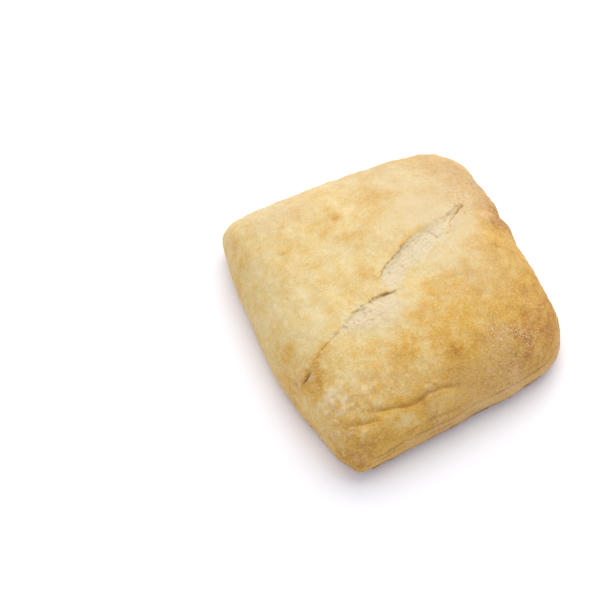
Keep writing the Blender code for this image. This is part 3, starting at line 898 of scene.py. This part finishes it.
# %% Helpers for every material
def linear(code):
    """A hex colour such as E8CF92, as linear red, green, blue and an alpha of 1."""
    shares = [int(code[at : at + 2], 16) / 255 for at in (0, 2, 4)]
    return tuple(s / 12.92 if s <= 0.04045 else ((s + 0.055) / 1.055) ** 2.4 for s in shares) + (1.0,)


def add_node(tree, kind, settings=None, sockets=None):
    made = tree.nodes.new(kind)
    for name, value in (settings or {}).items():
        setattr(made, name, value)
    for name, value in (sockets or {}).items():
        if isinstance(value, bpy.types.NodeSocket):
            tree.links.new(value, made.inputs[name])
        else:
            made.inputs[name].default_value = value
    return made


def set_stops(colour_ramp, colours):
    """Gives a colour ramp its colours, each as a place from 0 to 1 and a hex code."""
    stops = colour_ramp.color_ramp.elements
    while len(stops) < len(colours):
        stops.new(0.5)
    for stop, (at, code) in zip(stops, colours, strict=True):
        stop.position = at
        stop.color = linear(code)


print("cream in linear light:", [round(value, 3) for value in linear("E8CF92")])

# %% [markdown]
# ### Baked crust
#
# A baked wheat crust: browned starch and sugar, matt to faintly satin, with a dusting of flour baked on.
# It gives the eye a mottled gold that deepens to brown, pinkish-white flecks, and a dry surface. So the
# base colour runs through five crust colours by the painted browning, mottled at two sizes, and the
# torn crumb, the film, the flour and the scorch are mixed over it in turn. The browning, the pale side and
# the scorch also carry painted shade: in the cracks, the creases, the base rim and low on the front.

# %% The crust's colours and mottling
# The real skin's finest flecks are about 0.2 mm, too fine for the render, so they are drawn at 0.8 mm.
MOTTLE_SIZE = 4.0 * MM
FLECK_SIZE = 0.8 * MM
MULTIPLY = {"operation": "MULTIPLY"}
MULTIPLY_ADD = {"operation": "MULTIPLY_ADD"}
MAXIMUM = {"operation": "MAXIMUM"}
MIX_COLOURS = {"data_type": "RGBA"}
DARKEN = {"data_type": "RGBA", "blend_type": "MULTIPLY"}
SMOOTHLY = {"interpolation_type": "SMOOTHSTEP"}
CRUST_COLOURS = ((0.0, "EEDAA2"), (0.25, "EACC84"), (0.5, "E6B653"), (0.75, "DBA540"), (1.0, "CC8B36"))

crust = bpy.data.materials.new("baked_wheat_crust")
crust.use_nodes = True
tree = crust.node_tree
shader = tree.nodes["Principled BSDF"]
place = add_node(tree, "ShaderNodeTexCoord").outputs["Object"]
browned_and_shaded, floury, ripped, sheltered_and_shaded, scorch_and_shade, filmed = (
    add_node(tree, "ShaderNodeAttribute", {"attribute_name": name}).outputs["Fac"] for name in painted
)
mottle = add_node(
    tree, "ShaderNodeTexNoise", {},
    {"Vector": place, "Scale": 1 / MOTTLE_SIZE, "Detail": 1.5, "Roughness": 0.6},
)
centred = add_node(tree, "ShaderNodeMath", {"operation": "SUBTRACT"}, {0: mottle.outputs["Fac"], 1: 0.5})
mottle_strength = add_node(tree, "ShaderNodeMath", MULTIPLY_ADD, {0: browned_and_shaded, 1: 0.25, 2: 0.5})
shift = add_node(tree, "ShaderNodeMath", MULTIPLY, {0: centred.outputs[0], 1: mottle_strength.outputs[0]})
tone = add_node(tree, "ShaderNodeMath", {"operation": "ADD"}, {0: browned_and_shaded, 1: shift.outputs[0]})
crust_ramp = add_node(tree, "ShaderNodeValToRGB", {}, {"Fac": tone.outputs[0]})
set_stops(crust_ramp, CRUST_COLOURS)
print("crust runs from", CRUST_COLOURS[0][1], "to", CRUST_COLOURS[-1][1])

# %% The pale side, partly painted shade, and the flecks
# Mix nodes in colour mode: socket 0 is the share, 6 and 7 the two colours, output 2 the result.
# The pale side mixes towards a duller, darker dough colour: partly the unbaked band, partly painted shade.
unbaked_and_shaded = add_node(tree, "ShaderNodeMath", MULTIPLY, {0: sheltered_and_shaded, 1: 0.7})
side_toned = add_node(
    tree, "ShaderNodeMix", MIX_COLOURS,
    {0: unbaked_and_shaded.outputs[0], 6: crust_ramp.outputs["Color"], 7: linear("DCB06C")},
)
# A vector map range: sockets 6 to 10 are the value, its least and most, and the shade at each. Blue swings
# furthest, so that the flecks are lighter and darker without turning orange or green.
fleck = add_node(
    tree, "ShaderNodeTexNoise", {},
    {"Vector": place, "Scale": 1 / FLECK_SIZE, "Detail": 2.0, "Roughness": 0.8},
)
fleck_shade = add_node(
    tree, "ShaderNodeMapRange", {"data_type": "FLOAT_VECTOR"},
    {6: fleck.outputs["Fac"], 7: (0.3,) * 3, 8: (0.7,) * 3, 9: (0.68, 0.63, 0.42), 10: (1.18, 1.20, 1.42)},
)
fleck_share = add_node(tree, "ShaderNodeMath", MULTIPLY_ADD, {0: browned_and_shaded, 1: 0.9, 2: 0.2})
crust_colour = add_node(
    tree, "ShaderNodeMix", DARKEN,
    {0: fleck_share.outputs[0], 6: side_toned.outputs[2], 7: fleck_shade.outputs[1]},
)
print("crust nodes so far:", len(tree.nodes))

# %% Torn crumb over the crust
CRUMB_COLOURS = ((0.28, "D4C092"), (0.55, "E4D1A7"))
crumb_fleck = add_node(
    tree, "ShaderNodeTexNoise", {}, {"Vector": place, "Scale": 1 / FLECK_SIZE, "Detail": 2.0}
)
crumb_ramp = add_node(tree, "ShaderNodeValToRGB", {}, {"Fac": crumb_fleck.outputs["Fac"]})
set_stops(crumb_ramp, CRUMB_COLOURS)
with_crumb = add_node(
    tree, "ShaderNodeMix", MIX_COLOURS,
    {0: ripped, 6: crust_colour.outputs[2], 7: crumb_ramp.outputs["Color"]},
)
print("crumb from", CRUMB_COLOURS[0][1], "to", CRUMB_COLOURS[-1][1])

# %% How much flour: specks, dust and caked places
# Real flour is a tenth of a millimetre, too fine for the render, so the specks stand for small clumps.
SPECK_SIZE = 1.0 * MM
DUST_SIZE = 1.1 * MM
specks = add_node(tree, "ShaderNodeTexVoronoi", {}, {"Vector": place, "Scale": 1 / SPECK_SIZE})
speck_chance = add_node(tree, "ShaderNodeSeparateColor", {}, {"Color": specks.outputs["Color"]})
speck_room = add_node(
    tree, "ShaderNodeMath", {"operation": "SUBTRACT"}, {0: speck_chance.outputs["Red"], 1: 0.22}
)
speck_grown = add_node(tree, "ShaderNodeMath", MULTIPLY, {0: floury, 1: speck_room.outputs[0]})
speck_size = add_node(tree, "ShaderNodeMath", MAXIMUM, {0: speck_grown.outputs[0], 1: 0.001})
speck_share = add_node(
    tree, "ShaderNodeMapRange", SMOOTHLY,
    {"Value": specks.outputs["Distance"], "From Min": speck_size.outputs[0], "From Max": 0.0, "To Max": 0.6},
)
dust = add_node(
    tree, "ShaderNodeTexNoise", {},
    {"Vector": place, "Scale": 1 / DUST_SIZE, "Detail": 3.0, "Roughness": 0.85},
)
dust_share = add_node(
    tree, "ShaderNodeMapRange", SMOOTHLY,
    {"Value": dust.outputs["Fac"], "From Min": 0.47, "From Max": 0.64, "To Min": 0.02, "To Max": 0.72},
)
dusted = add_node(tree, "ShaderNodeMath", MULTIPLY, {0: dust_share.outputs[0], 1: floury})
loose = add_node(tree, "ShaderNodeMath", MAXIMUM, {0: speck_share.outputs[0], 1: dusted.outputs[0]})
caked = add_node(
    tree, "ShaderNodeMapRange", {}, {"Value": floury, "From Min": 0.55, "From Max": 1.1, "To Max": 0.75}
)
flour_share = add_node(tree, "ShaderNodeMath", MAXIMUM, {0: loose.outputs[0], 1: caked.outputs[0]})
print("specks in cells of", SPECK_SIZE / MM, "mm")

# %% Film, flour and scorch over the crust, the scorch with painted shade
film_cover = add_node(
    tree, "ShaderNodeMapRange", {},
    {"Value": dust.outputs["Fac"], "From Min": 0.35, "From Max": 0.65, "To Min": 0.45, "To Max": 0.65},
)
film_share = add_node(tree, "ShaderNodeMath", MULTIPLY, {0: film_cover.outputs[0], 1: filmed})
colour = with_crumb.outputs[2]
for settings, share, code in (
    (MIX_COLOURS, film_share.outputs[0], "D6C09A"),
    (MIX_COLOURS, flour_share.outputs[0], "EFD9B0"),
    # Darkens the cracks, creases and base rim: scorched crust and painted shade.
    (DARKEN, scorch_and_shade, "8C7350"),
):
    colour = add_node(tree, "ShaderNodeMix", settings, {0: share, 6: colour, 7: linear(code)}).outputs[2]
tree.links.new(colour, shader.inputs["Base Color"])
print("crust nodes:", len(tree.nodes))

# %% Dry surface and fine grain
GRAIN_SIZE = 0.6 * MM
ROUGHNESS = (0.62, 0.9)
roughness = add_node(
    tree, "ShaderNodeMapRange", {},
    {"Value": flour_share.outputs[0], "To Min": ROUGHNESS[0], "To Max": ROUGHNESS[1]},
)
tree.links.new(roughness.outputs[0], shader.inputs["Roughness"])
grain = add_node(
    tree, "ShaderNodeTexNoise", {},
    {"Vector": place, "Scale": 1 / GRAIN_SIZE, "Detail": 3.0, "Roughness": 0.65},
)
grain_strength = add_node(tree, "ShaderNodeMath", MULTIPLY_ADD, {0: browned_and_shaded, 1: 1.35, 2: 0.2})
grain_bump = add_node(
    tree, "ShaderNodeBump", {},
    {"Height": grain.outputs["Fac"], "Strength": grain_strength.outputs[0], "Distance": 0.5 * MM},
)
speck_bump = add_node(
    tree, "ShaderNodeBump", {},
    {
        "Height": flour_share.outputs[0], "Strength": 0.4, "Distance": 0.2 * MM,
        "Normal": grain_bump.outputs[0],
    },
)
tree.links.new(speck_bump.outputs[0], shader.inputs["Normal"])
shader.inputs["IOR"].default_value = 1.45
shader.inputs["Subsurface Weight"].default_value = 0.12
shader.inputs["Subsurface Radius"].default_value = (1.0, 0.55, 0.25)
shader.inputs["Subsurface Scale"].default_value = 2.0 * MM
roll_mesh.materials.append(crust)
print("crust roughness", ROUGHNESS)

# %% The roll stands for the CAD solid
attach(crusty_roll, "root")
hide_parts("ciabatta_roll")

# %% [markdown]
# ## Flour grains
#
# The coarse flour that dusted the dough lies on the crust as grains about half a millimetre across. A
# shader can colour them, but only real grains catch the light and cast their own small shade. One
# flattened icosphere is a grain. It is copied thousands of times, at places drawn at random where the
# flour is thick and the crust brown, and the copies are joined into one mesh, a little sunk in the
# crust. The draw has a fixed seed, but it picks faces by number, and Blender numbers the extruded side
# rows differently from run to run. So some grains land on other faces each time. The crust is the same.

# %% Where the grains lie
GRAIN_COUNT = 5000
GRAIN_RADII = (0.16 * MM, 0.36 * MM)
GRAIN_FLATNESS = 0.55
GRAIN_SINK = 0.25
LEAST_FLOUR = 0.12
LEAST_BROWNED = 0.30
SEED = 11


def face_values(name, width):
    """One of Blender's numbers or vectors for every face."""
    values = np.zeros(width * len(roll_mesh.polygons))
    roll_mesh.polygons.foreach_get(name, values)
    return values.reshape(-1, width)


draw = np.random.default_rng(SEED)
first_corner = np.array([face.vertices[0] for face in roll_mesh.polygons])
loose_flour = flour[first_corner] * (1 - torn[first_corner])
wanted = face_values("area", 1)[:, 0] * np.maximum(loose_flour - LEAST_FLOUR, 0.0) ** 1.5
wanted = wanted * ramp(browning_and_painted_shade[first_corner] - LEAST_BROWNED, 0.25)
chosen = draw.choice(len(wanted), size=GRAIN_COUNT, p=wanted / wanted.sum())
print("grains on", len(set(chosen.tolist())), "faces")

# %% Copy one flat grain to every place
one_grain = bmesh.new()
bmesh.ops.create_icosphere(one_grain, subdivisions=1, radius=1.0)
grain_points = np.array([vert.co[:] for vert in one_grain.verts])
grain_faces = np.array([[vert.index for vert in face.verts] for face in one_grain.faces])
one_grain.free()


def lying_axes(normals):
    """Two directions along the crust at each place, at a random turn."""
    any_way = draw.normal(size=normals.shape)
    first = np.cross(normals, any_way)
    first /= np.linalg.norm(first, axis=1)[:, None]
    return first, np.cross(normals, first)


normals = face_values("normal", 3)[chosen]
first, second = lying_axes(normals)
size = draw.uniform(*GRAIN_RADII, size=GRAIN_COUNT)[:, None]
stretched = draw.uniform(0.7, 1.3, size=(GRAIN_COUNT, 2))
shift_by = draw.uniform(-0.25, 0.25, size=(GRAIN_COUNT, 2)) * MM
middles = face_values("center", 3)[chosen] + shift_by[:, :1] * first + shift_by[:, 1:] * second
middles -= GRAIN_SINK * GRAIN_FLATNESS * size * normals
knobbly = grain_points[None] * draw.uniform(0.8, 1.2, size=(GRAIN_COUNT, len(grain_points), 1))
knobbly = knobbly * size[:, :, None]
corners = middles[:, None] + knobbly[:, :, :1] * (first * stretched[:, :1])[:, None]
corners = corners + knobbly[:, :, 1:2] * (second * stretched[:, 1:])[:, None]
corners = corners + knobbly[:, :, 2:] * GRAIN_FLATNESS * normals[:, None]
starts = np.arange(GRAIN_COUNT)[:, None, None] * len(grain_points)
grain_mesh = bpy.data.meshes.new("flour_grains")
grain_mesh.from_pydata(corners.reshape(-1, 3), [], (grain_faces[None] + starts).reshape(-1, 3).tolist())
flour_grains = bpy.data.objects.new("flour_grains", grain_mesh)
scene_objects.link(flour_grains)
print("flour grains:", len(grain_mesh.polygons), "triangles")

# %% [markdown]
# ### Baked flour
#
# Milled wheat that has been through the oven: a cream powder with no shine at all. It gives the eye pale
# dots that are always a little warmer than the table. Each grain's own shade comes from slow noise.

# %% The grains' colour
TOASTING_SIZE = 1.5 * MM
GRAIN_COLOURS = ((0.35, "DCB070"), (0.65, "E8C48C"))
flour_powder = bpy.data.materials.new("baked_wheat_flour")
flour_powder.use_nodes = True
tree = flour_powder.node_tree
shader = tree.nodes["Principled BSDF"]
place = add_node(tree, "ShaderNodeTexCoord").outputs["Object"]
toasting = add_node(
    tree, "ShaderNodeTexNoise", {}, {"Vector": place, "Scale": 1 / TOASTING_SIZE, "Detail": 1.0}
)
flour_ramp = add_node(tree, "ShaderNodeValToRGB", {}, {"Fac": toasting.outputs["Fac"]})
set_stops(flour_ramp, GRAIN_COLOURS)
tree.links.new(flour_ramp.outputs["Color"], shader.inputs["Base Color"])
shader.inputs["Roughness"].default_value = 0.95
shader.inputs["IOR"].default_value = 1.45
grain_mesh.materials.append(flour_powder)
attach(flour_grains, "root")
print("flour grains from toasted to pale")

# %% [markdown]
# ## The table and the light
#
# A plain white table, a big soft lamp above the roll, behind it on the right, and white surroundings.
# Large lamps make soft shadows, which suit bread: small ones would turn each speck of flour into a spike.
# A studio table is lit until it is whiter than white. A trace of light from the table itself does the same
# here, and keeps the shadow under the front edge as thin as it is.

# %% The table
table_mesh = bpy.data.meshes.new("white_table")
table_form = bmesh.new()
bmesh.ops.create_grid(table_form, x_segments=1, y_segments=1, size=3.0)
table_form.to_mesh(table_mesh)
table_form.free()
white_table = bpy.data.objects.new("white_table", table_mesh)
scene_objects.link(white_table)
table_paint = bpy.data.materials.new("matt_white_paint")
table_paint.use_nodes = True
table_shader = table_paint.node_tree.nodes["Principled BSDF"]
table_shader.inputs["Base Color"].default_value = linear("FEFEFE")
table_shader.inputs["Roughness"].default_value = 0.9
table_shader.inputs["Specular IOR Level"].default_value = 0.2
table_shader.inputs["Emission Color"].default_value = linear("FFEDE8")
table_shader.inputs["Emission Strength"].default_value = 0.07
table_mesh.materials.append(table_paint)
print("table", [round(side, 1) for side in white_table.dimensions])

# %% Surroundings and the lamp
LAMP_SIDE = 1.3
LAMP_POWER = 13.2
surroundings = bpy.data.worlds.new("white_studio")
surroundings.use_nodes = True
surroundings.node_tree.nodes["Background"].inputs["Color"].default_value = linear("F0F2FF")
surroundings.node_tree.nodes["Background"].inputs["Strength"].default_value = 0.69
bpy.context.scene.world = surroundings
bpy.context.scene.view_settings.view_transform = "Standard"
LAMP_PLACE = Vector((0.42, 0.55, 1.10))
light = bpy.data.lights.new("key_lamp", "AREA")
light.size = LAMP_SIDE
light.energy = LAMP_POWER
lamp = bpy.data.objects.new("key_lamp", light)
lamp.location = LAMP_PLACE
lamp.rotation_euler = (-LAMP_PLACE).to_track_quat("-Z", "Y").to_euler()
scene_objects.link(lamp)
print("one square lamp of", LAMP_SIDE, "m and", LAMP_POWER, "W")

# %% [markdown]
# ## The camera
#
# The photograph looks down steeply from the front left with a long lens. The camera's place and turn
# were worked out from the roll's outline for a lens of 120 mm, so that the corners of the roll fall
# where they do in the photograph.

# %% Camera
CAMERA_PLACE = Vector((-175.63, -350.29, 692.76)) * MM
CAMERA_AZIMUTH = np.radians(-21.3)
CAMERA_ELEVATION = np.radians(60.0)
CAMERA_ROLL = np.radians(-5.0)
back = Vector((
    np.sin(CAMERA_AZIMUTH) * np.cos(CAMERA_ELEVATION),
    -np.cos(CAMERA_AZIMUTH) * np.cos(CAMERA_ELEVATION),
    np.sin(CAMERA_ELEVATION),
))
level = Vector((np.cos(CAMERA_AZIMUTH), np.sin(CAMERA_AZIMUTH), 0.0))
upright = back.cross(level)
side_axis = level * np.cos(CAMERA_ROLL) + upright * np.sin(CAMERA_ROLL)
up_axis = upright * np.cos(CAMERA_ROLL) - level * np.sin(CAMERA_ROLL)
camera_data = bpy.data.cameras.new("camera")
camera_data.lens = 120.0
camera_data.sensor_width = 36.0
camera = bpy.data.objects.new("camera", camera_data)
scene_objects.link(camera)
turn = Matrix((side_axis, up_axis, back)).transposed()
camera.matrix_world = Matrix.Translation(CAMERA_PLACE) @ turn.to_4x4()
bpy.context.scene.camera = camera
print("camera at", [round(value, 3) for value in camera.location])
